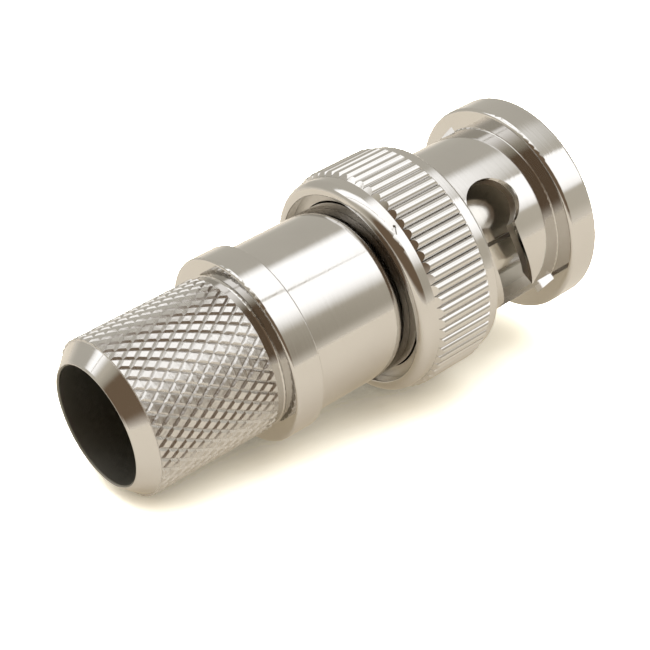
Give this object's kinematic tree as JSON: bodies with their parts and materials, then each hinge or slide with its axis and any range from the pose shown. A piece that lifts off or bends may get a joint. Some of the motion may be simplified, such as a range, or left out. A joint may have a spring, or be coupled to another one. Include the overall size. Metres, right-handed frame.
{
  "type": "bnc connector",
  "caption": "Bayonet coaxial cable plug with a knurled coupling nut, slotted contact sleeve, smooth barrel, collar and diamond-knurled crimp neck.",
  "frame": {"origin": "centre of the coupling nut's front face, the face that the plug stands on", "axes": "+Z along the common axis from the mating end to the cable end; the bayonet entry grooves lie along +X and -X"},
  "size_m": [0.0152, 0.0152, 0.0349],
  "materials": {
    "nickel_plate": "bright nickel plate over turned brass",
    "spring_steel": "bright spring steel strip",
    "gold_plate": "gold plate over turned brass",
    "white_insulator": "turned white fluoroplastic",
    "seal_rubber": "moulded silicone rubber"
  },
  "bodies": {
    "plug_body": {"front_body": "nickel_plate", "crimp_stem": "nickel_plate", "contact_sleeve": "nickel_plate", "sealing_gasket": "seal_rubber", "front_insulator": "white_insulator", "rear_insulator": "white_insulator", "centre_contact": "gold_plate", "wave_washer": "spring_steel"},
    "thrust_washer": {"thrust_washer": "spring_steel"},
    "coupling_nut": {"coupling_nut": "nickel_plate", "retaining_ring": "spring_steel"}
  },
  "joints": [
    {"name": "nut_float", "type": "slide", "parent": "plug_body", "child": "thrust_washer", "axis": [0, 0, 1], "range_m": [-0.00105, 0], "stiffness_N_per_m": 20000, "deforming": ["wave_washer"]},
    {"name": "nut_turn", "type": "hinge", "parent": "thrust_washer", "child": "coupling_nut", "pos_m": [0, 0, 0.0114], "axis": [0, 0, 1], "continuous": true}
  ]
}
